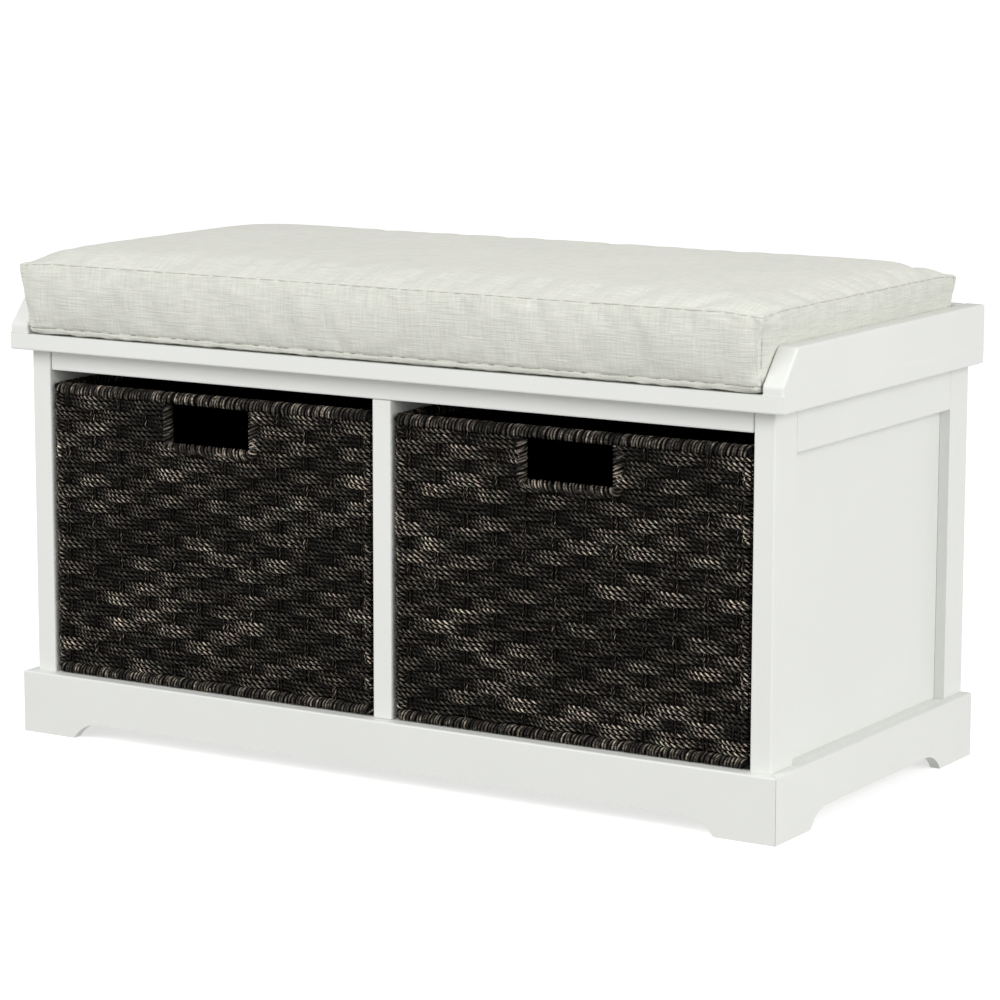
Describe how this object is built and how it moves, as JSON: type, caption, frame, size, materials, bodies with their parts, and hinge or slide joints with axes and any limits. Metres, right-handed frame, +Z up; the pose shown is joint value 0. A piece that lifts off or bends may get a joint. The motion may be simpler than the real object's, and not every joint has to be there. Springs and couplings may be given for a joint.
{
  "type": "storage bench",
  "caption": "Low entryway bench with a padded seat on a framed cabinet, open at the front for woven baskets that pull out.",
  "frame": {"origin": "on the floor, under the middle of the seat board", "axes": "+Z up, -Y towards the sitter's feet (the open front), +X along the bench to the right as seen from the front"},
  "size_m": [0.8, 0.388, 0.4443],
  "materials": {
    "white_paint": "satin white paint on board",
    "beech": "bare",
    "linen": "woven linen look",
    "foam": "open-cell foam",
    "rope": "twisted paper rope",
    "wire": "black wire",
    "screw_steel": "zinc plated",
    "zip_metal": "dull metal"
  },
  "bodies": {
    "bench": {"seat_board": "white_paint", "arm_left": "white_paint", "arm_right": "white_paint", "gallery_back": "white_paint", "front_rail": "white_paint", "back_rail": "white_paint", "post_front_left": "white_paint", "post_front_right": "white_paint", "post_rear_left": "white_paint", "post_rear_right": "white_paint", "side_rail_top_left": "white_paint", "side_rail_top_right": "white_paint", "side_rail_low_left": "white_paint", "side_rail_low_right": "white_paint", "side_panel_left": "white_paint", "side_panel_right": "white_paint", "divider": "white_paint", "bottom_shelf": "white_paint", "back_panel": "white_paint", "plinth_front": "white_paint", "plinth_left": "white_paint", "plinth_right": "white_paint", "plinth_back": "white_paint", "arm_screw_left_1": "screw_steel", "arm_screw_left_2": "screw_steel", "arm_screw_left_3": "screw_steel", "arm_screw_right_1": "screw_steel", "arm_screw_right_2": "screw_steel", "arm_screw_right_3": "screw_steel", "gallery_screw_1": "screw_steel", "gallery_screw_2": "screw_steel", "divider_screw_front": "screw_steel", "divider_screw_rear": "screw_steel", "seat_screw_front_left": "screw_steel", "seat_screw_front_right": "screw_steel", "seat_screw_back_left": "screw_steel", "seat_screw_back_right": "screw_steel", "shelf_dowel_left_front": "beech", "shelf_dowel_left_rear": "beech", "shelf_dowel_right_front": "beech", "shelf_dowel_right_rear": "beech"},
    "basket_left": {"basket_left_wall": "rope", "basket_left_base": "rope", "basket_left_rim": "rope", "basket_left_foot_ring": "rope", "basket_left_grip": "rope", "basket_left_frame": "wire"},
    "basket_right": {"basket_right_wall": "rope", "basket_right_base": "rope", "basket_right_rim": "rope", "basket_right_foot_ring": "rope", "basket_right_grip": "rope", "basket_right_frame": "wire"},
    "cushion": {"cushion_cover": "linen", "cushion_foam": "foam", "cushion_zip": "zip_metal"},
    "zip_slider": {"zip_slider": "zip_metal"}
  },
  "joints": [
    {"name": "basket_left_slide", "type": "slide", "parent": "bench", "child": "basket_left", "axis": [0, -1, 0], "range_m": [0, 0.36]},
    {"name": "basket_right_slide", "type": "slide", "parent": "bench", "child": "basket_right", "axis": [0, -1, 0], "range_m": [0, 0.36]},
    {"name": "cushion_lift", "type": "slide", "parent": "bench", "child": "cushion", "axis": [0, 0, 1], "range_m": [0, 0.25]},
    {"name": "zip_slide", "type": "slide", "parent": "cushion", "child": "zip_slider", "axis": [-1, 0, 0], "range_m": [0, 0.66]}
  ]
}
